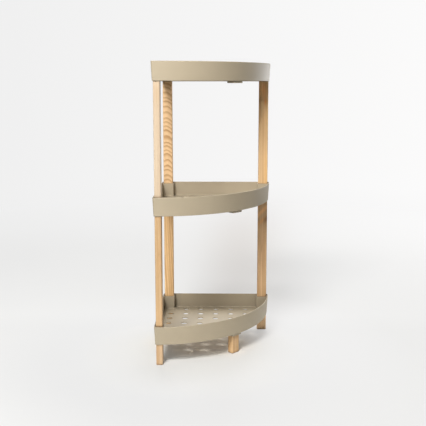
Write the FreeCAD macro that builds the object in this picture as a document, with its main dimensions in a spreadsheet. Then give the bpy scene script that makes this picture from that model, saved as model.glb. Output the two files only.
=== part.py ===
import FreeCAD, Part
import Sketcher
import math
import os

# Corner shelf: three identical quarter-round trays with sleeves in their corners,
# carried on separate wooden posts, short corner legs and one turned front foot.
# Millimetres, +Z up. The trays' square corner is at the back left; the curved front
# faces -Y and +X. The origin is on the ground under the middle of the outline.

os.makedirs("parts", exist_ok=True)
doc = FreeCAD.newDocument("corner_shelf")
V = FreeCAD.Vector

# ---------------------------------------------------------------- driving sizes
SIZES = [
    ("tray_radius", 290.0, "rim outline, from the square corner to the curved front"),
    ("rim_height", 45.0, "from the lower edge of the rim wall to its top"),
    ("draft_inset", 2.4, "how far the lower edge of the wall stands in from the rim"),
    ("wall_thick", 2.4, "rim wall"),
    ("back_corner_r", 8.0, "rim outline, square corner"),
    ("front_corner_r", 7.0, "rim outline, the two ends of the curved front"),
    ("floor_top", 8.0, "tray floor above the lower edge of the wall"),
    ("floor_thick", 2.2, "tray floor"),
    ("hole_dia", 15.0, "drain holes"),
    ("hole_first", 24.5, "first row of drain holes from the rim"),
    ("hole_pitch", 40.6, "drain hole spacing, both ways"),
    ("post_width", 25.0, "wooden posts, wide face"),
    ("post_depth", 16.0, "wooden posts, narrow face"),
    ("post_edge_r", 2.5, "rounding of the posts' long edges"),
    ("post_inset", 4.6, "posts' outer faces from the rim line of the straight walls"),
    ("post_end_inset", 5.0, "posts' ends from the tips of the curved front"),
    ("fit_gap", 0.2, "clearance around a post in its sleeve"),
    ("sleeve_wall", 1.8, "sleeve walls inside the tray"),
    ("sleeve_edge_r", 1.2, "rounding of the sleeves' upright edges"),
    ("sleeve_top", 42.5, "sleeve top above the lower edge of the wall"),
    ("sleeve_reach", 2.47, "how far inside the rim line the sleeves join the wall"),
    ("web_low", 19.5, "underside of the web in each sleeve"),
    ("web_thick", 4.0, "web that the posts meet from both sides"),
    ("foot_face", 281.0, "front foot's outer face from the square corner, on the diagonal"),
    ("boss_face", 285.4, "front socket's outer face on the diagonal"),
    ("boss_wall", 2.5, "front socket's walls"),
    ("boss_drop", 5.0, "front socket below the lower edge of the wall"),
    ("leg_height", 52.0, "lower edge of the bottom tray above the ground"),
    ("bay_pitch", 315.0, "tray to tray"),
    ("screw_dia", 4.0, "wood screws, shank"),
    ("screw_head", 8.0, "wood screws, countersunk head"),
    ("screw_length", 30.0, "wood screws, overall"),
    ("screw_tip", 5.0, "wood screws, pointed end"),
    ("screw_hole", 4.6, "clearance hole in the trays"),
    ("pilot_dia", 4.2, "pilot hole in the posts' ends"),
    ("pilot_depth", 28.5, "pilot hole depth"),
    ("recess_width", 1.1, "cross recess in the screw heads"),
    ("recess_span", 4.4, "cross recess, tip to tip"),
    ("recess_depth", 1.3, "cross recess depth"),
]
sheet = doc.addObject("Spreadsheet::Sheet", "dims")
for i, (alias, value, note) in enumerate(SIZES, start=1):
    sheet.set("A%d" % i, note)
    sheet.set("B%d" % i, "%g" % value)
    sheet.setAlias("B%d" % i, alias)
doc.recompute()


class Q:
    """A size: its number now, and the expression that ties it to the sheet."""

    def __init__(self, v, e):
        self.v, self.e = float(v), e

    def __add__(self, o):
        o = quant(o)
        return Q(self.v + o.v, "(%s + %s)" % (self.e, o.e))

    def __sub__(self, o):
        o = quant(o)
        return Q(self.v - o.v, "(%s - %s)" % (self.e, o.e))

    def __mul__(self, o):
        o = quant(o)
        return Q(self.v * o.v, "(%s * %s)" % (self.e, o.e))

    def __truediv__(self, o):
        o = quant(o)
        return Q(self.v / o.v, "(%s / %s)" % (self.e, o.e))

    def __neg__(self):
        return Q(-self.v, "(0 - %s)" % self.e)


def quant(o):
    return o if isinstance(o, Q) else Q(o, "%g" % o)


def root(q):
    return Q(math.sqrt(q.v), "sqrt(%s)" % q.e)


D = {alias: Q(float(getattr(sheet, alias)), "dims.%s" % alias) for alias, _, _ in SIZES}
R, INS, WALL = D["tray_radius"], D["draft_inset"], D["wall_thick"]
RB, RF = D["back_corner_r"], D["front_corner_r"]
PW, PD, PI, PE, GAP = (D[k] for k in ("post_width", "post_depth", "post_inset", "post_end_inset", "fit_gap"))
WEB_TOP = D["web_low"] + D["web_thick"]
FLOOR_LOW = D["floor_top"] - D["floor_thick"]
# The rim's outline reaches this far from the square corner, a hair less than the radius, because its tips are rounded.
SPAN = root((R - RF) * (R - RF) - RF * RF) + RF
HALF = SPAN / 2

# Plan positions of the post centres, from the square corner (x to the right, y towards the back).
POSTS = {
    "back": (PI + PW / 2, -(PI + PD / 2), 0.0),
    "left": (PI + PD / 2, -(R - PE - PW / 2), 90.0),
    "right": (R - PE - PW / 2, -(PI + PD / 2), 0.0),
}
ROOT2 = Q(math.sqrt(2.0), "sqrt(2)")
FOOT_MID = D["foot_face"] - PD / 2
FOOT_XY = FOOT_MID / ROOT2


# ---------------------------------------------------------------- sketch helpers
def plane(body, role):
    for f in body.Origin.OriginFeatures:
        if f.Role == role:
            return f
    raise RuntimeError("no plane " + role)


def new_sketch(body, name, height=None, turn=0.0):
    s = body.newObject("Sketcher::SketchObject", name)
    s.AttachmentSupport = [(plane(body, "XY_Plane"), "")]
    s.MapMode = "FlatFace"
    s.AttachmentOffset = FreeCAD.Placement(
        V(0, 0, height.v if height else 0.0), FreeCAD.Rotation(V(0, 0, 1), turn)
    )
    if height is not None:
        s.setExpression("AttachmentOffset.Base.z", height.e)
    return s


def line(s, a, b):
    return s.addGeometry(Part.LineSegment(V(a[0], a[1], 0), V(b[0], b[1], 0)), False)


def arc(s, c, r, a0, a1):
    """Anticlockwise from a0 to a1, in radians: start is point 1, end is point 2, centre is point 3."""
    return s.addGeometry(Part.ArcOfCircle(Part.Circle(V(c[0], c[1], 0), V(0, 0, 1), r), a0, a1), False)


def con(s, *args):
    return s.addConstraint(Sketcher.Constraint(*args))


def sized(s, kind, *args):
    """A dimension tied to the sheet: its last argument is the size."""
    q = args[-1]
    i = s.addConstraint(Sketcher.Constraint(kind, *args[:-1], q.v))
    s.setExpression("Constraints[%d]" % i, q.e)
    return i


def at_x(s, g, p, q):
    if q.v >= 0:
        sized(s, "DistanceX", -1, 1, g, p, q)
    else:
        sized(s, "DistanceX", g, p, -1, 1, -q)


def at_y(s, g, p, q):
    if q.v >= 0:
        sized(s, "DistanceY", -1, 1, g, p, q)
    else:
        sized(s, "DistanceY", g, p, -1, 1, -q)


def rounded_box(s, x0, x1, y0, y1, r):
    """Rectangle with rounded corners."""
    a, b, c, d, q = x0.v, x1.v, y0.v, y1.v, r.v
    h = math.pi / 2
    low = line(s, (a + q, c), (b - q, c))
    c1 = arc(s, (b - q, c + q), q, -h, 0)
    right = line(s, (b, c + q), (b, d - q))
    c2 = arc(s, (b - q, d - q), q, 0, h)
    top = line(s, (b - q, d), (a + q, d))
    c3 = arc(s, (a + q, d - q), q, h, 2 * h)
    left = line(s, (a, d - q), (a, c + q))
    c4 = arc(s, (a + q, c + q), q, 2 * h, 3 * h)
    ring = [low, c1, right, c2, top, c3, left, c4]
    for k in range(8):
        con(s, "Tangent", ring[k], 2, ring[(k + 1) % 8], 1)
    con(s, "Horizontal", low), con(s, "Horizontal", top)
    con(s, "Vertical", left), con(s, "Vertical", right)
    for k in (c2, c3, c4):
        con(s, "Equal", c1, k)
    sized(s, "Radius", c1, r)
    at_x(s, left, 1, x0), at_x(s, right, 1, x1)
    at_y(s, low, 1, y0), at_y(s, top, 1, y1)


def tips(ins, rf):
    """Corner arc centre distance along the wall, and the angle where it meets the curved front."""
    rr = R.v - ins.v
    far = math.sqrt((rr - rf.v) ** 2 - (ins.v + rf.v) ** 2)
    return rr, far, math.atan2(ins.v + rf.v, far)


def outline(s, ins, rb, rf):
    """Quarter-round outline, set in from the rim line, with rounded corners."""
    rr, far, turn = tips(ins, rf)
    i, h = ins.v, math.pi / 2
    left = line(s, (i, -far), (i, -(i + rb.v)))
    cb = arc(s, (i + rb.v, -(i + rb.v)), rb.v, h, 2 * h)
    back = line(s, (i + rb.v, -i), (far, -i))
    cr = arc(s, (far, -(i + rf.v)), rf.v, -turn, h)
    front = arc(s, (0, 0), rr, -h + turn, -turn)
    cl = arc(s, (i + rf.v, -far), rf.v, math.pi, math.pi + h + turn)
    con(s, "Tangent", left, 2, cb, 2)
    con(s, "Tangent", cb, 1, back, 1)
    con(s, "Tangent", back, 2, cr, 2)
    con(s, "Tangent", cr, 1, front, 2)
    con(s, "Tangent", front, 1, cl, 2)
    con(s, "Tangent", cl, 1, left, 1)
    con(s, "Vertical", left), con(s, "Horizontal", back)
    con(s, "Coincident", front, 3, -1, 1)
    sized(s, "Radius", front, R - ins)
    sized(s, "Radius", cb, rb)
    sized(s, "Radius", cr, rf)
    con(s, "Equal", cr, cl)
    at_x(s, left, 1, ins), at_y(s, back, 1, -ins)


def sleeve_back(s, e, rb, x1, y1, rv):
    """Block in the square corner, its two outer sides inside the wall."""
    a, h = e.v, math.pi / 2
    left = line(s, (a, -y1.v), (a, -(a + rb.v)))
    cb = arc(s, (a + rb.v, -(a + rb.v)), rb.v, h, 2 * h)
    back = line(s, (a + rb.v, -a), (x1.v, -a))
    right = line(s, (x1.v, -a), (x1.v, -y1.v + rv.v))
    ce = arc(s, (x1.v - rv.v, -y1.v + rv.v), rv.v, -h, 0)
    low = line(s, (x1.v - rv.v, -y1.v), (a, -y1.v))
    con(s, "Tangent", left, 2, cb, 2)
    con(s, "Tangent", cb, 1, back, 1)
    con(s, "Coincident", back, 2, right, 1)
    con(s, "Tangent", right, 2, ce, 2)
    con(s, "Tangent", ce, 1, low, 1)
    con(s, "Coincident", low, 2, left, 1)
    for g in (left, right):
        con(s, "Vertical", g)
    for g in (back, low):
        con(s, "Horizontal", g)
    sized(s, "Radius", cb, rb), sized(s, "Radius", ce, rv)
    at_x(s, left, 1, e), at_y(s, back, 1, -e)
    at_x(s, right, 1, x1), at_y(s, low, 1, -y1)


def sleeve_left(s, e, rf, x1, y0, rv):
    """Block at the left tip of the curved front."""
    rr, far, turn = tips(e, rf)
    a, h = e.v, math.pi / 2
    yp = -math.sqrt(rr * rr - x1.v * x1.v)
    left = line(s, (a, -far), (a, -y0.v))
    top = line(s, (a, -y0.v), (x1.v - rv.v, -y0.v))
    ce = arc(s, (x1.v - rv.v, -y0.v - rv.v), rv.v, 0, h)
    right = line(s, (x1.v, -y0.v - rv.v), (x1.v, yp))
    front = arc(s, (0, 0), rr, -h + turn, math.atan2(yp, x1.v))
    cl = arc(s, (a + rf.v, -far), rf.v, math.pi, math.pi + h + turn)
    con(s, "Coincident", left, 2, top, 1)
    con(s, "Tangent", top, 2, ce, 2)
    con(s, "Tangent", ce, 1, right, 1)
    con(s, "Coincident", right, 2, front, 2)
    con(s, "Tangent", front, 1, cl, 2)
    con(s, "Tangent", cl, 1, left, 1)
    con(s, "Vertical", left), con(s, "Vertical", right), con(s, "Horizontal", top)
    con(s, "Coincident", front, 3, -1, 1)
    sized(s, "Radius", front, R - e)
    sized(s, "Radius", cl, rf), sized(s, "Radius", ce, rv)
    at_x(s, left, 1, e), at_x(s, right, 1, x1), at_y(s, top, 1, -y0)


def sleeve_right(s, e, rf, x0, y1, rv):
    """Block at the right tip of the curved front."""
    rr, far, turn = tips(e, rf)
    a, h = e.v, math.pi / 2
    xp = math.sqrt(rr * rr - y1.v * y1.v)
    back = line(s, (far, -a), (x0.v, -a))
    left = line(s, (x0.v, -a), (x0.v, -y1.v + rv.v))
    ce = arc(s, (x0.v + rv.v, -y1.v + rv.v), rv.v, 2 * h, 3 * h)
    low = line(s, (x0.v + rv.v, -y1.v), (xp, -y1.v))
    front = arc(s, (0, 0), rr, math.atan2(-y1.v, xp), -turn)
    cr = arc(s, (far, -(a + rf.v)), rf.v, -turn, h)
    con(s, "Coincident", back, 2, left, 1)
    con(s, "Tangent", left, 2, ce, 1)
    con(s, "Tangent", ce, 2, low, 1)
    con(s, "Coincident", low, 2, front, 1)
    con(s, "Tangent", front, 2, cr, 1)
    con(s, "Tangent", cr, 2, back, 1)
    con(s, "Horizontal", back), con(s, "Horizontal", low), con(s, "Vertical", left)
    con(s, "Coincident", front, 3, -1, 1)
    sized(s, "Radius", front, R - e)
    sized(s, "Radius", cr, rf), sized(s, "Radius", ce, rv)
    at_y(s, back, 1, -e), at_x(s, left, 1, x0), at_y(s, low, 1, -y1)


def discs(s, spots, dia):
    """Circles at the given places; every one has the size of the first."""
    first = None
    for x, y in spots:
        g = s.addGeometry(Part.Circle(V(x.v, y.v, 0), V(0, 0, 1), dia.v / 2), False)
        at_x(s, g, 3, x), at_y(s, g, 3, y)
        if first is None:
            first = g
            sized(s, "Diameter", g, dia)
        else:
            con(s, "Equal", first, g)


# ---------------------------------------------------------------- feature helpers
def pad(body, name, sk, length, down=False, taper=None):
    f = body.newObject("PartDesign::Pad", name)
    f.Profile = sk
    f.Length = length.v
    f.setExpression("Length", length.e)
    f.Reversed = down
    if taper is not None:
        f.TaperAngle = taper.v
        f.setExpression("TaperAngle", taper.e)
    sk.Visibility = False
    doc.recompute()
    return f


def pocket(body, name, sk, depth, up=False, taper=None):
    """Cuts down from the sketch, or up from it; the volume must shrink."""
    before = body.Shape.Volume
    f = body.newObject("PartDesign::Pocket", name)
    f.Profile = sk
    f.Length = depth.v
    f.setExpression("Length", depth.e)
    f.Reversed = up
    if taper is not None:
        f.TaperAngle = taper.v
        f.setExpression("TaperAngle", taper.e)
    sk.Visibility = False
    doc.recompute()
    if body.Shape.Volume > before - 1.0:
        raise RuntimeError("%s cut nothing: %.1f -> %.1f" % (name, before, body.Shape.Volume))
    return f


def dress(body, kind, name, size, pick):
    """Rounds or bevels the edges of the body's present shape that pick accepts."""
    base = body.Tip
    names = ["Edge%d" % (k + 1) for k, e in enumerate(base.Shape.Edges) if pick(e)]
    if not names:
        raise RuntimeError("%s: no edges" % name)
    f = body.newObject("PartDesign::" + kind, name)
    f.Base = (base, names)
    if kind == "Fillet":
        f.Radius = size
    else:
        f.Size = size
    doc.recompute()
    if "Invalid" in f.State or f.Shape.isNull() or not f.Shape.isValid():
        raise RuntimeError("%s failed on %d edges" % (name, len(names)))
    return f


def at_height(e, z, tol=1e-3):
    b = e.BoundBox
    return abs(b.ZMin - z) < tol and abs(b.ZMax - z) < tol


def radial(e):
    p = e.valueAt((e.FirstParameter + e.LastParameter) / 2)
    return math.hypot(p.x, p.y), p


# ---------------------------------------------------------------- places of edges in a tray
def near(a, b, tol=0.06):
    return abs(a - b) < tol


def inset_of(e):
    """How far the edge's middle stands in from the rim line, in plan."""
    _, p = radial(e)
    a, b = p.x, -p.y
    far = math.sqrt((R.v - RF.v) ** 2 - RF.v**2)
    if a < RB.v and b < RB.v:
        return RB.v - math.hypot(RB.v - a, RB.v - b)
    if a < RF.v and b > far:
        return RF.v - math.hypot(a - RF.v, b - far)
    if b < RF.v and a > far:
        return RF.v - math.hypot(a - far, b - RF.v)
    return min(a, b, R.v - math.hypot(a, b))


def in_socket(e):
    """On the mouth of one of the post sockets."""
    _, p = radial(e)
    for cx, cy, turn in POSTS.values():
        a, b = (PW.v, PD.v) if turn == 0.0 else (PD.v, PW.v)
        if abs(p.x - cx.v) < a / 2 + GAP.v + 0.05 and abs(p.y - cy.v) < b / 2 + GAP.v + 0.05:
            return True
    return False


def on_sleeve(e):
    """On the sleeves' faces inside the tray."""
    _, p = radial(e)
    return inset_of(e) > WALL.v + 0.6 and not in_socket(e)


def on_floor_line(e):
    """Where the floor meets the wall or a sleeve, and not a drain or screw hole."""
    return abs(e.Curve.Radius - D["hole_dia"].v / 2) > 1.0 and e.Curve.Radius > 0.5 and not e.isClosed()


def in_foot(e):
    """On the mouth of the front foot's socket."""
    _, p = radial(e)
    out, along = (p.x - p.y) / math.sqrt(2.0), (p.x + p.y) / math.sqrt(2.0)
    return (
        D["foot_face"].v - PD.v - GAP.v - 0.05 < out < D["foot_face"].v + GAP.v + 0.05
        and abs(along) < PW.v / 2 + GAP.v + 0.05
    )


# ---------------------------------------------------------------- trays
LEAN = math.degrees(math.atan(INS.v / D["rim_height"].v))
TAPER_OUT = Q(LEAN, "atan(dims.draft_inset / dims.rim_height)")
TAPER_IN = Q(-LEAN, "-atan(dims.draft_inset / dims.rim_height)")
SX = PI + PD + GAP + D["sleeve_wall"]          # sleeve's inner face, across its narrow side
SL = PI + PW + GAP + D["sleeve_wall"]          # sleeve's inner face, along its wide side (square corner)
SE = R - PE - PW - GAP - D["sleeve_wall"]      # the same at the two tips


def tray(label, level):
    body = doc.addObject("PartDesign::Body", label)
    body.Label = label

    s = new_sketch(body, label + "_outline")
    outline(s, INS, RB - INS, RF - INS)
    pad(body, label + "_block", s, D["rim_height"], taper=TAPER_OUT)

    # Hollow above the floor, its sides parallel to the outside.
    s = new_sketch(body, label + "_inside_line", D["rim_height"])
    outline(s, WALL, RB - WALL, RF - WALL)
    pocket(body, label + "_inside", s, D["rim_height"] - D["floor_top"], taper=TAPER_IN)

    # Shallow hollow under the floor.
    s = new_sketch(body, label + "_under_line")
    outline(s, INS + WALL, RB - INS - WALL, RF - INS - WALL)
    pocket(body, label + "_under", s, FLOOR_LOW, up=True)

    # Sleeves for the posts.
    s = new_sketch(body, label + "_sleeve_lines")
    e = D["sleeve_reach"]
    sleeve_back(s, e, RB - e, SL, SX, D["sleeve_edge_r"])
    sleeve_left(s, e, RF - e, SX, SE, D["sleeve_edge_r"])
    sleeve_right(s, e, RF - e, SE, SX, D["sleeve_edge_r"])
    pad(body, label + "_sleeves", s, D["sleeve_top"])

    # Socket for the front foot, under the middle of the curved front.
    s = new_sketch(body, label + "_boss_line", D["floor_top"] - D["floor_thick"] / 2, -45.0)
    side = PW / 2 + GAP + D["boss_wall"]
    rounded_box(s, D["foot_face"] - PD - GAP - D["boss_wall"], D["boss_face"], -side, side, Q(1.2, "1.2"))
    pad(body, label + "_boss", s, D["floor_top"] - D["floor_thick"] / 2 + D["boss_drop"], down=True)
    s = new_sketch(body, label + "_foot_line", -D["boss_drop"], -45.0)
    rounded_box(
        s,
        D["foot_face"] - PD - GAP,
        D["foot_face"] + GAP,
        -(PW / 2 + GAP),
        PW / 2 + GAP,
        D["post_edge_r"] + GAP,
    )
    pocket(body, label + "_foot_socket", s, D["boss_drop"] + FLOOR_LOW, up=True)

    # Post sockets from below and from above, with a web between them.
    def sockets(name, height):
        k = new_sketch(body, name, height)
        for place, (cx, cy, turn) in POSTS.items():
            a, b = (PW, PD) if turn == 0.0 else (PD, PW)
            rounded_box(
                k,
                cx - a / 2 - GAP,
                cx + a / 2 + GAP,
                cy - b / 2 - GAP,
                cy + b / 2 + GAP,
                D["post_edge_r"] + GAP,
            )
        return k

    pocket(body, label + "_lower_sockets", sockets(label + "_lower_lines", None), D["web_low"], up=True)
    pocket(
        body,
        label + "_upper_sockets",
        sockets(label + "_upper_lines", D["sleeve_top"]),
        D["sleeve_top"] - WEB_TOP,
    )

    # Countersunk screw holes in the webs and above the front socket.
    spots = [(cx, cy) for cx, cy, _ in POSTS.values()]
    s = new_sketch(body, label + "_web_holes_at", WEB_TOP)
    discs(s, spots, D["screw_hole"])
    pocket(body, label + "_web_holes", s, D["web_thick"] + 1)
    s = new_sketch(body, label + "_foot_hole_at", D["floor_top"])
    discs(s, [(FOOT_XY, -FOOT_XY)], D["screw_hole"])
    pocket(body, label + "_foot_hole", s, D["floor_thick"] + 1)

    # Drain holes on a square grid, left out at the square corner, the tips and the front socket.
    spots = []
    for i in range(6):
        for j in range(6):
            x, y = D["hole_first"] + D["hole_pitch"] * i, D["hole_first"] + D["hole_pitch"] * j
            if i + j > 0 and math.hypot(x.v, y.v) < 255.0:
                spots.append((x, -y))
    s = new_sketch(body, label + "_drain_at", D["floor_top"])
    discs(s, spots, D["hole_dia"])
    pocket(body, label + "_drains", s, D["floor_thick"] + 1)

    # Countersinks.
    web, flr = WEB_TOP.v, D["floor_top"].v
    small = D["screw_hole"].v / 2
    sink = (D["screw_head"].v - D["screw_hole"].v) / 2 + 0.1

    def round_of(e, r, z):
        return (
            at_height(e, z)
            and e.Curve.TypeId == "Part::GeomCircle"
            and abs(e.Curve.Radius - r) < 1e-3
        )

    dress(
        body,
        "Chamfer",
        label + "_sinks",
        sink,
        lambda e: round_of(e, small, web) or round_of(e, small, flr),
    )

    # Softened edges: rim, drain holes, lower edge of the wall, sleeve mouths, floor line.
    dress(body, "Fillet", label + "_rim_round", 1.1, lambda e: at_height(e, D["rim_height"].v))
    dress(body, "Fillet", label + "_drain_round", 0.6, lambda e: round_of(e, D["hole_dia"].v / 2, flr))
    dress(body, "Fillet", label + "_lower_round", 0.9, lambda e: at_height(e, 0.0) and near(inset_of(e), INS.v))
    dress(body, "Chamfer", label + "_mouths", 0.5, lambda e: at_height(e, D["sleeve_top"].v) and in_socket(e))
    dress(
        body,
        "Fillet",
        label + "_sleeve_round",
        0.6,
        lambda e: at_height(e, D["sleeve_top"].v) and on_sleeve(e),
    )
    dress(
        body,
        "Fillet",
        label + "_floor_round",
        2.0,
        lambda e: at_height(e, flr) and e.Curve.TypeId != "Part::GeomCircle" or at_height(e, flr) and on_floor_line(e),
    )
    dress(body, "Fillet", label + "_boss_round", 0.8, lambda e: at_height(e, -D["boss_drop"].v) and not in_foot(e))
    body.Placement = FreeCAD.Placement(V(-HALF.v, HALF.v, level.v), FreeCAD.Rotation())
    body.setExpression("Placement.Base.x", (-HALF).e)
    body.setExpression("Placement.Base.y", HALF.e)
    body.setExpression("Placement.Base.z", level.e)
    doc.recompute()
    return body


# ---------------------------------------------------------------- wooden pieces
def post(label, cx, cy, turn, low, length, foot_round):
    """Rounded wooden bar, its lower end at the given height, with a pilot hole in its top end."""
    body = doc.addObject("PartDesign::Body", label)
    body.Label = label
    s = new_sketch(body, label + "_section")
    rounded_box(s, -(PW / 2), PW / 2, -(PD / 2), PD / 2, D["post_edge_r"])
    pad(body, label + "_bar", s, length)
    s = new_sketch(body, label + "_pilot_at", length)
    g = s.addGeometry(Part.Circle(V(0, 0, 0), V(0, 0, 1), D["pilot_dia"].v / 2), False)
    con(s, "Coincident", g, 3, -1, 1)
    sized(s, "Diameter", g, D["pilot_dia"])
    pocket(body, label + "_pilot", s, D["pilot_depth"])
    wide = PD.v / 2 - 0.1

    def rim(e, z):
        r, _ = radial(e)
        return at_height(e, z) and r > wide - 1.0

    dress(body, "Fillet", label + "_foot_round", foot_round, lambda e: rim(e, 0.0))
    dress(body, "Fillet", label + "_top_round", 0.6, lambda e: rim(e, length.v))
    body.Placement = FreeCAD.Placement(V(0, 0, 0), FreeCAD.Rotation(V(0, 0, 1), turn))
    for axis, q in (("x", cx - HALF), ("y", cy + HALF), ("z", low)):
        body.setExpression("Placement.Base." + axis, q.e)
    doc.recompute()
    return body


# ---------------------------------------------------------------- screws
def screw(name, cx, cy, top):
    """Countersunk wood screw, standing on its point, head up, with a cross recess."""
    hr, sr = D["screw_head"] / 2, D["screw_dia"] / 2
    head_h = hr - sr
    x, y = cx - HALF, cy + HALF

    def put(o, dx, dy, z):
        for axis, q in (("x", x + dx), ("y", y + dy), ("z", z)):
            o.setExpression("Placement.Base." + axis, q.e)

    head = doc.addObject("Part::Cone", name + "_head")
    head.setExpression("Radius1", sr.e)
    head.setExpression("Radius2", hr.e)
    head.setExpression("Height", head_h.e)
    put(head, 0, 0, top - head_h)
    shank = doc.addObject("Part::Cylinder", name + "_shank")
    shank.setExpression("Radius", sr.e)
    shank.setExpression("Height", (D["screw_length"] - head_h - D["screw_tip"]).e)
    put(shank, 0, 0, top - D["screw_length"] + D["screw_tip"])
    tip = doc.addObject("Part::Cone", name + "_point")
    tip.Radius1 = 0.2
    tip.setExpression("Radius2", sr.e)
    tip.setExpression("Height", D["screw_tip"].e)
    put(tip, 0, 0, top - D["screw_length"])
    solid = doc.addObject("Part::MultiFuse", name + "_solid")
    solid.Shapes = [head, shank, tip]
    slots = []
    for k, (wx, wy) in enumerate(((D["recess_span"], D["recess_width"]), (D["recess_width"], D["recess_span"]))):
        b = doc.addObject("Part::Box", "%s_slot%d" % (name, k))
        b.setExpression("Length", wx.e)
        b.setExpression("Width", wy.e)
        b.setExpression("Height", (D["recess_depth"] + 1).e)
        put(b, -(wx / 2), -(wy / 2), top - D["recess_depth"])
        slots.append(b)
    cross = doc.addObject("Part::MultiFuse", name + "_cross")
    cross.Shapes = slots
    made = doc.addObject("Part::Cut", name)
    made.Base = solid
    made.Tool = cross
    return made


def screws(label, spots):
    group = doc.addObject("Part::Compound", label)
    group.Label = label
    group.Links = [screw("%s_%d" % (label, k), *spot) for k, spot in enumerate(spots)]
    doc.recompute()
    return group


# ---------------------------------------------------------------- assembly
LEVELS = {
    "bottom": D["leg_height"],
    "middle": D["leg_height"] + D["bay_pitch"],
    "top": D["leg_height"] + D["bay_pitch"] * 2,
}
nodes = []
for name, level in LEVELS.items():
    nodes.append(tray("tray_" + name, level))

bar = D["bay_pitch"] - D["web_thick"]
for bay, level in (("lower", LEVELS["bottom"]), ("upper", LEVELS["middle"])):
    for place, (cx, cy, turn) in POSTS.items():
        nodes.append(post("post_%s_%s" % (bay, place), cx, cy, turn, level + WEB_TOP, bar, 0.6))
for place, (cx, cy, turn) in POSTS.items():
    nodes.append(post("leg_" + place, cx, cy, turn, Q(0, "0"), D["leg_height"] + D["web_low"], 1.4))
nodes.append(post("front_foot", FOOT_XY, -FOOT_XY, 45.0, Q(0, "0"), D["leg_height"] + FLOOR_LOW, 1.4))

for name, level in LEVELS.items():
    spots = [(cx, cy, level + WEB_TOP) for cx, cy, _ in POSTS.values()]
    if name == "bottom":
        spots.append((FOOT_XY, -FOOT_XY, level + D["floor_top"]))
    nodes.append(screws("tray_screws_" + name, spots))

# ---------------------------------------------------------------- checks, then the files
doc.recompute()
for o in doc.Objects:
    if "Invalid" in o.State or "Error" in o.State:
        raise RuntimeError("%s is %s" % (o.Name, o.State))
for n in nodes:
    if n.Shape.isNull() or not n.Shape.isValid():
        raise RuntimeError("%s has a bad shape" % n.Label)
for n in nodes:
    b = n.Shape.BoundBox
    print(
        "%-22s solids %d volume %9.1f  x %.2f..%.2f  y %.2f..%.2f  z %.2f..%.2f"
        % (n.Label, len(n.Shape.Solids), n.Shape.Volume, b.XMin, b.XMax, b.YMin, b.YMax, b.ZMin, b.ZMax)
    )
    n.Shape.exportStep("parts/%s.step" % n.Label)
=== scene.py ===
import math

import bpy
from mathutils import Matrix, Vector

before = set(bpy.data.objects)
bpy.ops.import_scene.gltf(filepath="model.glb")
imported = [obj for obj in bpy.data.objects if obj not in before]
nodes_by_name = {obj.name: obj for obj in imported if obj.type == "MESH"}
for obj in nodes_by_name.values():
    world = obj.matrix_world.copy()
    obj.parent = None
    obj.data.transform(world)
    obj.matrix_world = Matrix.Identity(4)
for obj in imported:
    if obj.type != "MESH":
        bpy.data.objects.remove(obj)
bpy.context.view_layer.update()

scene = bpy.context.scene


def lin(r, g, b):
    """Linear colour of an sRGB triple in 0..255."""
    def one(c):
        c /= 255.0
        return c / 12.92 if c <= 0.04045 else ((c + 0.055) / 1.055) ** 2.4
    return (one(r), one(g), one(b), 1.0)


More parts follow.
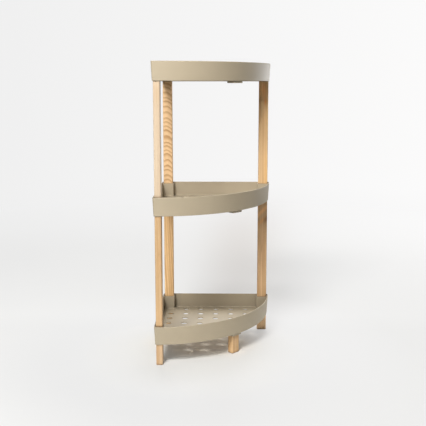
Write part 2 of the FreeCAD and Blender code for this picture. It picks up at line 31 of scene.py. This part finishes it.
# ------------------------------------------------------------------ node helpers
class Tree:
    """Small helper to write a shader as a chain of expressions."""

    def __init__(self, name):
        self.mat = bpy.data.materials.new(name)
        self.mat.use_nodes = True
        self.t = self.mat.node_tree
        self.t.nodes.clear()
        self.out = self.t.nodes.new("ShaderNodeOutputMaterial")

    def node(self, kind, **props):
        n = self.t.nodes.new(kind)
        for k, v in props.items():
            setattr(n, k, v)
        return n

    def put(self, socket, value):
        if hasattr(value, "is_output"):
            self.t.links.new(value, socket)
        else:
            socket.default_value = value

    def math(self, op, a, b=None, c=None, clamp=False):
        n = self.node("ShaderNodeMath", operation=op, use_clamp=clamp)
        for i, v in enumerate((a, b, c)):
            if v is not None:
                self.put(n.inputs[i], v)
        return n.outputs[0]

    def vec(self, op, a, b=None, scale=None):
        n = self.node("ShaderNodeVectorMath", operation=op)
        self.put(n.inputs[0], a)
        if b is not None:
            self.put(n.inputs[1], b)
        if scale is not None:
            self.put(n.inputs["Scale"], scale)
        return n.outputs["Value"] if op in ("LENGTH", "DOT_PRODUCT", "DISTANCE") else n.outputs["Vector"]

    def noise(self, vector=None, scale=1.0, detail=2.0, rough=0.5, dims="3D", w=None, color=False):
        n = self.node("ShaderNodeTexNoise", noise_dimensions=dims)
        n.inputs["Scale"].default_value = scale
        n.inputs["Detail"].default_value = detail
        n.inputs["Roughness"].default_value = rough
        if vector is not None:
            self.put(n.inputs["Vector"], vector)
        if w is not None:
            self.put(n.inputs["W"], w)
        return n.outputs["Color"] if color else n.outputs["Fac"]

    def ramp(self, fac, stops, mode="LINEAR"):
        n = self.node("ShaderNodeValToRGB")
        n.color_ramp.interpolation = mode
        els = n.color_ramp.elements
        while len(els) < len(stops):
            els.new(0.5)
        for e, (pos, val) in zip(els, stops):
            e.position = pos
            e.color = val if hasattr(val, "__len__") else (val, val, val, 1.0)
        self.put(n.inputs["Fac"], fac)
        return n.outputs["Color"]

    def span(self, x, a, b, lo, hi):
        n = self.node("ShaderNodeMapRange", clamp=True)
        self.put(n.inputs["Value"], x)
        for k, v in (("From Min", a), ("From Max", b), ("To Min", lo), ("To Max", hi)):
            n.inputs[k].default_value = v
        return n.outputs["Result"]

    def mix(self, fac, a, b, blend="MIX"):
        n = self.node("ShaderNodeMix", data_type="RGBA", blend_type=blend, clamp_factor=True)
        self.put(n.inputs[0], fac)
        self.put(n.inputs[6], a)
        self.put(n.inputs[7], b)
        return n.outputs[2]

    def bump(self, height, strength, distance, normal=None):
        n = self.node("ShaderNodeBump")
        n.inputs["Strength"].default_value = strength
        n.inputs["Distance"].default_value = distance
        self.put(n.inputs["Height"], height)
        if normal is not None:
            self.put(n.inputs["Normal"], normal)
        return n.outputs["Normal"]

    def local(self, centre=(0, 0, 0), turn=0.0):
        """Position in metres from a piece's own centre, turned with it."""
        tc = self.node("ShaderNodeTexCoord")
        m = self.node("ShaderNodeMapping", vector_type="TEXTURE")
        m.inputs["Location"].default_value = centre
        m.inputs["Rotation"].default_value = (0.0, 0.0, turn)
        self.t.links.new(tc.outputs["Object"], m.inputs["Vector"])
        return m.outputs["Vector"]

    def edges(self, radius):
        """0 on flat areas, towards 1 on outward and inward edges."""
        bev = self.node("ShaderNodeBevel", samples=6)
        bev.inputs["Radius"].default_value = radius
        geo = self.node("ShaderNodeNewGeometry")
        d = self.vec("DOT_PRODUCT", bev.outputs["Normal"], geo.outputs["Normal"])
        return self.math("SUBTRACT", 1.0, d, clamp=True)

    def crease(self, reach):
        """1 in the open, towards 0 in narrow gaps and inner corners; a mask for painted shade there."""
        n = self.node("ShaderNodeAmbientOcclusion", samples=8)
        n.inputs["Distance"].default_value = reach
        return n.outputs["AO"]

    def surface(self, **sockets):
        p = self.node("ShaderNodeBsdfPrincipled")
        for k, v in sockets.items():
            self.put(p.inputs[k.replace("_", " ")], v)
        self.t.links.new(p.outputs[0], self.out.inputs["Surface"])
        return p


# ------------------------------------------------------------------ moulded plastic
PLASTIC = (0.461, 0.385, 0.270, 1.0)


def shade(c, k):
    return (c[0] * k, c[1] * k, c[2] * k, 1.0)


def plastic(name, seed, tint, corner_shade):
    t = Tree(name)
    body = shade(PLASTIC, tint)
    p = t.local((0.37 * seed, 0.21 * seed, 0.0))
    cloud = t.noise(p, scale=11.0, detail=3.0, rough=0.55)
    speck = t.noise(p, scale=900.0, detail=2.0, rough=0.6)
    grain = t.noise(p, scale=2600.0, detail=3.0, rough=0.6)
    flow = t.noise(t.vec("MULTIPLY", p, (6.0, 6.0, 60.0)), scale=1.0, detail=3.0, rough=0.5)
    base = t.mix(t.span(cloud, 0.3, 0.7, 0.0, 1.0), shade(body, 0.965), shade(body, 1.03))
    base = t.mix(t.span(speck, 0.35, 0.75, 0.0, 0.09), base, shade(body, 0.74))
    base = t.mix(t.span(flow, 0.45, 0.75, 0.0, 0.05), base, shade(body, 1.2))
    openness = t.crease(0.045)
    # lighter along outward edges: partly rubbed wear, partly a painted edge highlight; kept off inner corners
    edge_lightening = t.math("MULTIPLY", t.span(t.edges(0.0011), 0.03, 0.30, 0.0, 1.0), t.span(cloud, 0.3, 0.65, 0.25, 0.6))
    edge_lightening = t.math("MULTIPLY", edge_lightening, t.span(openness, 0.60, 0.88, 0.0, 1.0))
    base = t.mix(edge_lightening, base, shade(body, 1.22))
    # painted shade: darker in inner corners and narrow gaps, by an amount set per tray
    base = t.mix(t.span(openness, 0.25, 0.95, corner_shade, 0.0), base, shade(body, 0.42))
    rough = t.math("ADD", t.span(cloud, 0.3, 0.7, 0.47, 0.55), t.span(grain, 0.3, 0.7, -0.05, 0.05))
    height = t.math("ADD", t.math("MULTIPLY", grain, 0.6), t.math("MULTIPLY", speck, 0.5))
    n = t.bump(height, 0.16, 0.00012)
    n = t.bump(t.noise(p, scale=16.0, detail=1.0), 0.10, 0.0012, n)
    t.surface(Base_Color=base, Roughness=rough, Normal=n, IOR=1.47, Specular_IOR_Level=0.42)
    return t.mat


# ------------------------------------------------------------------ wood
def wood(name, centre, turn, seed, tone, pith, tilt, spacing, contrast=0.6, wander=0.0022, streaks=0.3, even=0.45, deep=1.0, marks=()):
    """Growth rings about a pith line beside the bar, fine fibres along it, pores and soft colour clouds.
    pith is in metres from the bar's axis at its middle height, tilt is how far it leans per metre of height.
    marks are soft figures, such as a knot or a pale diagonal, and also patches of painted light and shade: place, reach
    along x, y and z, lean in x, tint."""
    t = Tree(name)
    early = (tone[0] * 1.07, tone[1] * 1.09, tone[2] * 1.12, 1.0)
    late = (tone[0] * 0.80 * deep, tone[1] * 0.64 * deep, tone[2] * 0.47 * deep, 1.0)
    p = t.local(centre, turn)
    off = (seed * 1.37, seed * 0.71, seed * 2.13)
    q = t.vec("ADD", p, off)
    warp = t.noise(t.vec("MULTIPLY", q, (16.0, 16.0, 5.0)), scale=1.0, detail=2.0, rough=0.5, color=True)
    warp = t.vec("SCALE", t.vec("SUBTRACT", warp, (0.5, 0.5, 0.5)), scale=wander * 2.0)
    ripple = t.noise(t.vec("MULTIPLY", q, (60.0, 60.0, 22.0)), scale=1.0, detail=2.0, rough=0.5, color=True)
    ripple = t.vec("SCALE", t.vec("SUBTRACT", ripple, (0.5, 0.5, 0.5)), scale=0.0009)
    s = t.node("ShaderNodeSeparateXYZ")
    t.put(s.inputs[0], t.vec("ADD", t.vec("ADD", p, warp), ripple))
    x = t.math("SUBTRACT", t.math("MULTIPLY_ADD", s.outputs["Z"], tilt[0], s.outputs["X"]), pith[0])
    y = t.math("SUBTRACT", t.math("MULTIPLY_ADD", s.outputs["Z"], tilt[1], s.outputs["Y"]), pith[1])
    c = t.node("ShaderNodeCombineXYZ")
    t.put(c.inputs[0], x), t.put(c.inputs[1], y)
    r = t.vec("LENGTH", c.outputs[0])
    uneven = t.noise(dims="1D", w=t.math("MULTIPLY", r, 1.0 / (spacing * 2.6)), scale=1.0, detail=1.0)
    phase = t.math("MULTIPLY_ADD", uneven, 2.4 - 2.0 * even, t.math("DIVIDE", r, spacing))
    ring = t.ramp(t.math("FRACT", phase), [(0.0, 0.22), (0.08, 0.0), (0.42, 0.10), (0.64, 0.62), (0.76, 1.0), (0.93, 1.0), (0.99, 0.45)])
    each = t.node("ShaderNodeTexWhiteNoise", noise_dimensions="1D")
    t.put(each.inputs["W"], t.math("FLOOR", phase))
    ring = t.math("MULTIPLY", ring, t.span(each.outputs["Value"], 0.0, 1.0, even, 1.0))
    fibre = t.noise(t.vec("MULTIPLY", q, (1500.0, 1500.0, 16.0)), scale=1.0, detail=3.0, rough=0.6)
    streak = t.noise(t.vec("MULTIPLY", q, (165.0, 165.0, 3.2)), scale=1.0, detail=3.0, rough=0.6)
    pore = t.noise(t.vec("MULTIPLY", q, (2300.0, 2300.0, 95.0)), scale=1.0, detail=1.0, rough=0.5)
    cloud = t.noise(t.vec("MULTIPLY", q, (26.0, 26.0, 6.0)), scale=1.0, detail=2.0, rough=0.5)
    col = t.mix(t.math("MULTIPLY", ring, contrast), early, late)
    col = t.mix(t.span(streak, 0.40, 0.64, 0.0, streaks), col, late)
    # each mark multiplies the colour near its place: wood figure, and on some bars painted light and shade
    for place, reach, lean, tint in marks:
        v = t.node("ShaderNodeSeparateXYZ")
        t.put(v.inputs[0], t.vec("SUBTRACT", t.vec("ADD", p, warp), place))
        w = t.node("ShaderNodeCombineXYZ")
        t.put(w.inputs[0], t.math("MULTIPLY_ADD", v.outputs["Z"], -lean, v.outputs["X"]))
        t.put(w.inputs[1], v.outputs["Y"]), t.put(w.inputs[2], v.outputs["Z"])
        d = t.vec("LENGTH", t.vec("DIVIDE", w.outputs[0], reach))
        near = t.math("EXPONENT", t.math("MULTIPLY", t.math("POWER", d, 2.0), -1.0))
        col = t.mix(near, col, tint + (1.0,), "MULTIPLY")
    col = t.mix(t.span(fibre, 0.30, 0.70, 0.16, 0.0), col, shade(late, 0.62))
    dash = t.math("MULTIPLY", t.span(pore, 0.64, 0.74, 0.0, 0.55), t.span(ring, 0.0, 0.5, 1.0, 0.25))
    col = t.mix(dash, col, shade(late, 0.45))
    col = t.mix(t.span(cloud, 0.35, 0.68, 0.0, 0.22), col, shade(early, 1.12))
    edge_lightening = t.math("MULTIPLY", t.span(t.edges(0.0010), 0.04, 0.35, 0.0, 0.35), t.span(cloud, 0.3, 0.7, 0.3, 1.0))
    col = t.mix(edge_lightening, col, shade(early, 1.18))
    # painted shade: darker in narrow gaps and where a post meets a tray
    col = t.mix(t.span(t.crease(0.008), 0.40, 0.92, 0.92, 0.0), col, shade(late, 0.30))
    rough = t.math("ADD", t.span(fibre, 0.3, 0.7, 0.54, 0.42), t.math("MULTIPLY", ring, -0.06))
    height = t.math("ADD", t.math("MULTIPLY", fibre, 0.7), t.math("MULTIPLY", ring, 0.35))
    height = t.math("SUBTRACT", height, t.math("MULTIPLY", dash, 0.6))
    n = t.bump(height, 0.30, 0.00012)
    t.surface(Base_Color=col, Roughness=rough, Normal=n, IOR=1.5, Specular_IOR_Level=0.38)
    return t.mat


# ------------------------------------------------------------------ plated steel
def steel(name):
    t = Tree(name)
    p = t.local()
    patch = t.noise(p, scale=420.0, detail=3.0, rough=0.55)
    fine = t.noise(t.vec("MULTIPLY", p, (900.0, 900.0, 9000.0)), scale=1.0, detail=2.0)
    base = t.mix(t.span(patch, 0.3, 0.7, 0.0, 1.0), lin(176, 177, 176), lin(206, 204, 196))
    edge_lightening = t.span(t.edges(0.0003), 0.05, 0.4, 0.0, 0.6)
    base = t.mix(edge_lightening, base, lin(226, 225, 222))
    rough = t.math("ADD", t.span(patch, 0.3, 0.7, 0.24, 0.38), t.span(fine, 0.3, 0.7, -0.04, 0.06))
    n = t.bump(fine, 0.2, 0.00004)
    t.surface(Base_Color=base, Roughness=rough, Normal=n, Metallic=1.0)
    return t.mat


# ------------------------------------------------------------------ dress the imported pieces
def give(name, mat):
    o = nodes_by_name[name]
    o.data.materials.clear()
    o.data.materials.append(mat)


# Each tray gets its own brightness scale, lighter on the top tray and darker on the bottom one: painted light and shade
# that make lit and shaded copies of one plastic. The last number sets the painted shade in the tray's inner corners.
for k, (name, tint, corner_shade) in enumerate((("tray_bottom", 0.884, 0.76), ("tray_middle", 0.974, 0.32), ("tray_top", 1.003, 0.45))):
    give(name, plastic("plastic_" + name, k + 1, tint, corner_shade))

QUARTER = math.pi / 2
BACK, LEFT, RIGHT = (-0.127857, 0.132357), (-0.132357, -0.127543), (0.127543, 0.132357)
FRONT = (0.048083, -0.048083)
BARS = [
    # name, plan centre, middle height, turn, seed, mean colour, pith, tilt, ring spacing, contrast, wander, streaks, even, deep,
    # marks
    ("post_upper_back", BACK, 0.546, 0.0, 1, (0.819, 0.546, 0.291), (-0.003, 0.066), (0.010, -0.155), 0.0020, 1.00, 0.0011, 0.10, 0.70, 0.74, ()),
    ("post_lower_back", BACK, 0.231, 0.0, 2, (0.781, 0.512, 0.251), (0.060, 0.016), (0.046, 0.004), 0.0058, 0.95, 0.0040, 0.50, 0.50, 0.82, ()),
    ("post_upper_left", LEFT, 0.546, QUARTER, 3, (0.643, 0.505, 0.354), (0.020, -0.060), (0.006, 0.004), 0.0040, 0.25, 0.0022, 0.20, 0.45, 1.0,
     (((0.0, -0.003, 0.107), (0.040, 0.008, 0.026), 0.0, (0.93, 0.87, 0.78)),)),
    ("post_lower_left", LEFT, 0.231, QUARTER, 4, (0.587, 0.394, 0.209), (-0.010, 0.050), (0.004, -0.010), 0.0060, 0.50, 0.0022, 0.40, 0.45, 1.0,
     (((0.0, -0.002, 0.034), (0.040, 0.004, 0.045), 0.0, (0.97, 0.90, 0.82)),)),
    # post_upper_right: the first mark, a warm lighter patch at the top, is painted warm light at the edge of the top
    # tray's shadow; the second, neutral and darker on the left, is a painted shadow wedge; the fourth, neutral and
    # lighter on the right, is painted light; the last two, neutral bands across the whole bar, are painted shade lower
    # down and painted light higher up. The third, fifth and sixth marks are wood figure.
    ("post_upper_right", RIGHT, 0.546, 0.0, 5, (0.855, 0.568, 0.288), (-0.060, 0.030), (0.012, 0.006), 0.0070, 0.60, 0.0022, 0.45, 0.45, 0.92,
     (((0.000, -0.008, 0.112), (0.009, 0.030, 0.022), 0.0, (1.30, 1.08, 0.90)),
      ((-0.010, -0.008, 0.068), (0.007, 0.030, 0.034), 0.0, (0.68, 0.66, 0.66)),
      ((0.005, -0.008, 0.082), (0.0032, 0.030, 0.009), 0.0, (1.08, 0.76, 0.50)),
      ((0.005, -0.008, 0.046), (0.011, 0.030, 0.024), 0.0, (1.22, 1.24, 1.20)),
      ((-0.007, -0.008, -0.090), (0.007, 0.030, 0.070), 0.0, (0.98, 1.03, 1.12)),
      ((0.007, -0.008, -0.098), (0.0042, 0.030, 0.050), 0.0, (0.98, 0.90, 0.70)),
      ((0.000, 0.000, -0.105), (0.060, 0.060, 0.080), 0.0, (0.87, 0.87, 0.88)),
      ((0.000, 0.000, 0.040), (0.060, 0.060, 0.034), 0.0, (1.12, 1.12, 1.12)))),
    # post_lower_right: the first mark, a pale diagonal at the top, is partly wood figure and partly painted light in
    # the middle tray's shadow; the last two, neutral bands across the whole bar, are painted light around the middle
    # and painted shade at the bottom. The other marks are wood figure.
    ("post_lower_right", RIGHT, 0.231, 0.0, 6, (0.659, 0.431, 0.231), (0.050, 0.040), (-0.030, 0.020), 0.0040, 0.60, 0.0030, 0.55, 0.45, 0.82,
     (((0.001, -0.008, 0.104), (0.008, 0.030, 0.022), 1.0, (1.62, 1.48, 1.26)),
      ((-0.008, -0.008, 0.118), (0.004, 0.030, 0.013), 1.0, (0.92, 0.72, 0.50)),
      ((0.010, -0.008, 0.080), (0.006, 0.030, 0.010), 0.3, (0.42, 0.32, 0.24)),
      ((-0.001, -0.008, 0.076), (0.007, 0.030, 0.011), 0.8, (1.24, 1.02, 0.74)),
      ((-0.001, -0.008, 0.002), (0.0014, 0.030, 0.012), 0.1, (0.78, 0.72, 0.66)),
      ((0.000, 0.000, 0.020), (0.060, 0.060, 0.040), 0.0, (1.12, 1.12, 1.12)),
      ((0.000, 0.000, -0.130), (0.060, 0.060, 0.060), 0.0, (0.92, 0.92, 0.92)))),
    ("leg_back", BACK, 0.036, 0.0, 7, (0.600, 0.395, 0.210), (0.030, 0.040), (0.0, 0.010), 0.0034, 0.60, 0.0022, 0.40, 0.45, 1.0, ()),
    ("leg_left", LEFT, 0.036, QUARTER, 8, (0.571, 0.392, 0.228), (0.045, 0.020), (0.010, 0.0), 0.0046, 0.60, 0.0022, 0.45, 0.45, 0.95, ()),
    # leg_right: its much paler tone than the other legs makes up for the shade under the bottom tray: painted light,
    # partly a paler piece of wood.
    ("leg_right", RIGHT, 0.036, 0.0, 9, (0.959, 0.668, 0.393), (0.040, -0.030), (0.020, 0.010), 0.0044, 0.40, 0.0022, 0.30, 0.45, 1.0, ()),
    ("front_foot", FRONT, 0.029, QUARTER / 2, 10, (0.620, 0.408, 0.210), (0.050, 0.012), (0.0, 0.015), 0.0044, 0.60, 0.0022, 0.40, 0.45, 1.0, ()),
]
for name, (cx, cy), mid, turn, seed, tone, pith, tilt, spacing, contrast, wander, streaks, even, deep, marks in BARS:
    give(name, wood("wood_" + name, (cx, cy, mid), turn, seed, tone, pith, tilt, spacing, contrast, wander, streaks, even, deep, marks))

plated = steel("zinc_plated_steel")
for name in ("tray_screws_bottom", "tray_screws_middle", "tray_screws_top"):
    give(name, plated)

# ------------------------------------------------------------------ floor
GROUND = (0.735, 0.735, 0.718, 1.0)
FAR_LEFT = (0.873, 0.872, 0.872, 1.0)
FAR_RIGHT = (0.967, 0.963, 0.962, 1.0)
BOUNCE = 1.22


def floor_material():
    """Pale sheet that fades into the background. The light it throws back on the shelf is kept low, as in a studio
    where the sheet is small and the room around it is dark."""
    t = Tree("studio_floor")
    p = t.local()
    cloud = t.noise(p, scale=1.3, detail=2.0)
    grain = t.noise(p, scale=700.0, detail=2.0)
    base = t.mix(t.span(cloud, 0.3, 0.7, 0.0, 1.0), shade(GROUND, 0.985), shade(GROUND, 1.012))
    s = t.node("ShaderNodeSeparateXYZ")
    t.put(s.inputs[0], p)
    reach = t.math("MAXIMUM", t.math("ADD", s.outputs["Y"], 1.85), 1.5)
    across = t.span(t.math("DIVIDE", s.outputs["X"], reach), -0.29, 0.29, 0.0, 1.0)
    flat = t.node("ShaderNodeCombineXYZ")
    t.put(flat.inputs[0], s.outputs["X"]), t.put(flat.inputs[1], s.outputs["Y"])
    away = t.span(t.vec("DISTANCE", flat.outputs[0], (-0.05, -0.05, 0.0)), 0.0, 4.0, 0.0, 1.0)
    far = t.mix(across, FAR_LEFT, FAR_RIGHT)
    # painted shade: the background colour is a little darker near the shelf, fading out by about three metres
    far = t.mix(t.span(away, 0.25, 0.80, 1.0, 0.0), far, t.mix(across, shade(FAR_LEFT, 0.985), shade(FAR_RIGHT, 0.95)))
    # painted light: the floor colour is scaled across the view, lighter at the far left and right of the middle
    base = t.mix(1.0, base, t.ramp(across, [(0.0, 1.10), (0.20, 1.05), (0.34, 1.0), (0.42, 1.05), (0.56, 1.06), (0.66, 1.02), (1.0, 1.0)]), "MULTIPLY")
    # painted shadow: a soft, warm darker patch on the floor behind the shelf, widening with distance, in both the floor
    # and background colour
    middle = t.math("ADD", t.math("MULTIPLY", s.outputs["Y"], 0.045), 0.04)
    width = t.math("MAXIMUM", t.math("ADD", t.math("MULTIPLY", s.outputs["Y"], 0.055), 0.10), 0.06)
    dx = t.math("DIVIDE", t.math("SUBTRACT", s.outputs["X"], middle), width)
    dy = t.math("DIVIDE", t.math("SUBTRACT", s.outputs["Y"], 1.15), 1.1)
    d = t.math("ADD", t.math("MULTIPLY", dx, dx), t.math("MULTIPLY", dy, dy))
    behind = t.math("EXPONENT", t.math("MULTIPLY", d, -1.0))
    base = t.mix(behind, base, (GROUND[0] * 0.865, GROUND[1] * 0.84, GROUND[2] * 0.82, 1.0))
    far = t.mix(behind, far, (0.797, 0.772, 0.753, 1.0))
    # painted warm light: the floor under the shelf, where its shadow falls, is redder and a little lighter
    d = t.vec("LENGTH", t.vec("DIVIDE", t.vec("SUBTRACT", p, (-0.03, 0.03, 0.0)), (0.125, 0.10, 1.0)))
    under = t.math("EXPONENT", t.math("MULTIPLY", t.math("POWER", d, 4.0), -1.0))
    base = t.mix(under, base, (GROUND[0] * 1.18, GROUND[1] * 1.04, GROUND[2] * 0.88, 1.0))
    # painted shade: floor and background colour darker towards the front, fading out beyond about two metres from the
    # shelf
    front = t.ramp(t.span(s.outputs["Y"], -0.6, 0.4, 0.0, 1.0), [(0.0, 0.925), (0.29, 0.945), (0.48, 0.957), (0.72, 0.972), (0.85, 1.0)])
    front = t.mix(t.span(away, 0.15, 0.50, 0.0, 1.0), front, (1.0, 1.0, 1.0, 1.0))
    base, far = t.mix(1.0, base, front, "MULTIPLY"), t.mix(1.0, far, front, "MULTIPLY")
    diff = t.node("ShaderNodeBsdfPrincipled")
    t.put(diff.inputs["Base Color"], base)
    diff.inputs["Roughness"].default_value = 0.9
    diff.inputs["Specular IOR Level"].default_value = 0.1
    t.put(diff.inputs["Normal"], t.bump(grain, 0.05, 0.0003))
    # The floor glows with the background colour for camera rays, little right under the shelf and strongly a little
    # further out, so its real shadows there are lightened by a set amount: painted light.
    glow = t.node("ShaderNodeEmission")
    t.put(glow.inputs["Color"], far)
    fade = t.ramp(away, [(0.03, 0.07), (0.05, 0.38), (0.06, 0.52), (0.073, 0.84), (0.09, 0.86), (0.14, 0.54), (0.30, 0.64), (0.45, 0.90), (0.60, 1.0)])
    back = t.node("ShaderNodeBsdfDiffuse")
    t.put(back.inputs["Color"], t.ramp(away, [(0.10, shade(GROUND, BOUNCE)), (0.25, shade(GROUND, 0.08))]))
    sheet = t.node("ShaderNodeMixShader")
    t.put(sheet.inputs[0], fade)
    t.t.links.new(diff.outputs[0], sheet.inputs[1])
    t.t.links.new(glow.outputs[0], sheet.inputs[2])
    path = t.node("ShaderNodeLightPath")
    mixer = t.node("ShaderNodeMixShader")
    t.put(mixer.inputs[0], path.outputs["Is Camera Ray"])
    t.t.links.new(back.outputs[0], mixer.inputs[1])
    t.t.links.new(sheet.outputs[0], mixer.inputs[2])
    t.t.links.new(mixer.outputs[0], t.out.inputs["Surface"])
    return t.mat


def make_floor():
    """Round pale sheet, wide enough to reach the background from any side."""
    rings, seg = [0.0, 0.4, 0.9, 2.0, 4.5, 12.0, 60.0], 96
    verts, faces = [(0.0, 0.0, 0.0)], []
    for rad in rings[1:]:
        for k in range(seg):
            a = 2 * math.pi * k / seg
            verts.append((rad * math.cos(a), rad * math.sin(a), 0.0))
    for k in range(seg):
        faces.append((0, 1 + k, 1 + (k + 1) % seg))
    for i in range(len(rings) - 2):
        a, b = 1 + i * seg, 1 + (i + 1) * seg
        for k in range(seg):
            n = (k + 1) % seg
            faces.append((a + k, b + k, b + n, a + n))
    me = bpy.data.meshes.new("studio_floor")
    me.from_pydata(verts, [], faces)
    me.materials.append(floor_material())
    o = bpy.data.objects.new("studio_floor", me)
    scene.collection.objects.link(o)
    return o


make_floor()

# ------------------------------------------------------------------ light
def lamp(name, azimuth, elevation, distance, size, power, colour=(1, 1, 1), size_y=None, aim=0.3):
    """Soft box. Azimuth 0 is in front of the shelf and positive to the right; elevation is above the floor, in degrees."""
    a, e = math.radians(azimuth), math.radians(elevation)
    way = Vector((math.sin(a) * math.cos(e), -math.cos(a) * math.cos(e), math.sin(e)))
    d = bpy.data.lights.new(name, "AREA")
    d.shape = "RECTANGLE"
    d.size, d.size_y = size, size_y or size
    d.energy, d.color = power, colour
    o = bpy.data.objects.new(name, d)
    scene.collection.objects.link(o)
    o.location = Vector((0.0, 0.0, aim)) + way * distance
    o.rotation_mode = "QUATERNION"
    o.rotation_quaternion = (-way).to_track_quat("-Z", "Y")
    o.visible_camera = False
    return o


lamp("key_strip", -19, 46, 2.6, 0.75, 49.0, (1.0, 1.0, 1.0), 0.40)
lamp("key_box", -17, 38, 2.6, 1.2, 41.6, (1.0, 1.0, 1.0), 1.3)
lamp("back", 180, 34, 3.0, 2.2, 45.8)
lamp("back_right", 131, 12, 3.0, 1.7, 43.7)
lamp("back_low", 150, 8, 3.0, 1.0, 6.2, (1.0, 1.0, 1.0), 0.5, 0.1)
lamp("front_low", 2, 5, 2.8, 1.0, 4.0, (1.0, 1.0, 1.0), 0.3, 0.05)

world = bpy.data.worlds.new("studio")
world.use_nodes = True
scene.world = world
wt = world.node_tree
wt.nodes.clear()
wo = wt.nodes.new("ShaderNodeOutputWorld")
seen = wt.nodes.new("ShaderNodeBackground")
tc = wt.nodes.new("ShaderNodeTexCoord")
way = wt.nodes.new("ShaderNodeSeparateXYZ")
wt.links.new(tc.outputs["Generated"], way.inputs[0])
ahead = wt.nodes.new("ShaderNodeMath")
ahead.operation = "MAXIMUM"
wt.links.new(way.outputs["Y"], ahead.inputs[0])
ahead.inputs[1].default_value = 0.3
side = wt.nodes.new("ShaderNodeMath")
side.operation = "DIVIDE"
wt.links.new(way.outputs["X"], side.inputs[0])
wt.links.new(ahead.outputs[0], side.inputs[1])
across = wt.nodes.new("ShaderNodeMapRange")
wt.links.new(side.outputs[0], across.inputs["Value"])
across.inputs["From Min"].default_value = -0.29
across.inputs["From Max"].default_value = 0.29
tint = wt.nodes.new("ShaderNodeMix")
tint.data_type = "RGBA"
wt.links.new(across.outputs["Result"], tint.inputs[0])
tint.inputs[6].default_value = FAR_LEFT
tint.inputs[7].default_value = FAR_RIGHT
wt.links.new(tint.outputs[2], seen.inputs["Color"])
soft = wt.nodes.new("ShaderNodeBackground")
soft.inputs["Color"].default_value = (1.0, 0.99, 0.98, 1.0)
soft.inputs["Strength"].default_value = 0.02
path = wt.nodes.new("ShaderNodeLightPath")
pick = wt.nodes.new("ShaderNodeMixShader")
wt.links.new(path.outputs["Is Camera Ray"], pick.inputs[0])
wt.links.new(soft.outputs[0], pick.inputs[1])
wt.links.new(seen.outputs[0], pick.inputs[2])
wt.links.new(pick.outputs[0], wo.inputs["Surface"])

scene.view_settings.view_transform = "Standard"
scene.view_settings.look = "None"
scene.view_settings.exposure = 0.0
scene.view_settings.gamma = 1.0

# ------------------------------------------------------------------ camera
yaw, pitch = math.radians(-0.936), math.radians(8.843)
forward = Vector((math.sin(yaw) * math.cos(pitch), math.cos(yaw) * math.cos(pitch), -math.sin(pitch)))
cam_data = bpy.data.cameras.new("camera")
cam_data.sensor_width = 36.0
cam_data.lens = 61.112
cam_data.shift_y = -0.037
cam = bpy.data.objects.new("camera", cam_data)
scene.collection.objects.link(cam)
cam.location = (0.02477, -1.81061, 0.673)
cam.rotation_mode = "QUATERNION"
cam.rotation_quaternion = forward.to_track_quat("-Z", "Y")
scene.camera = cam
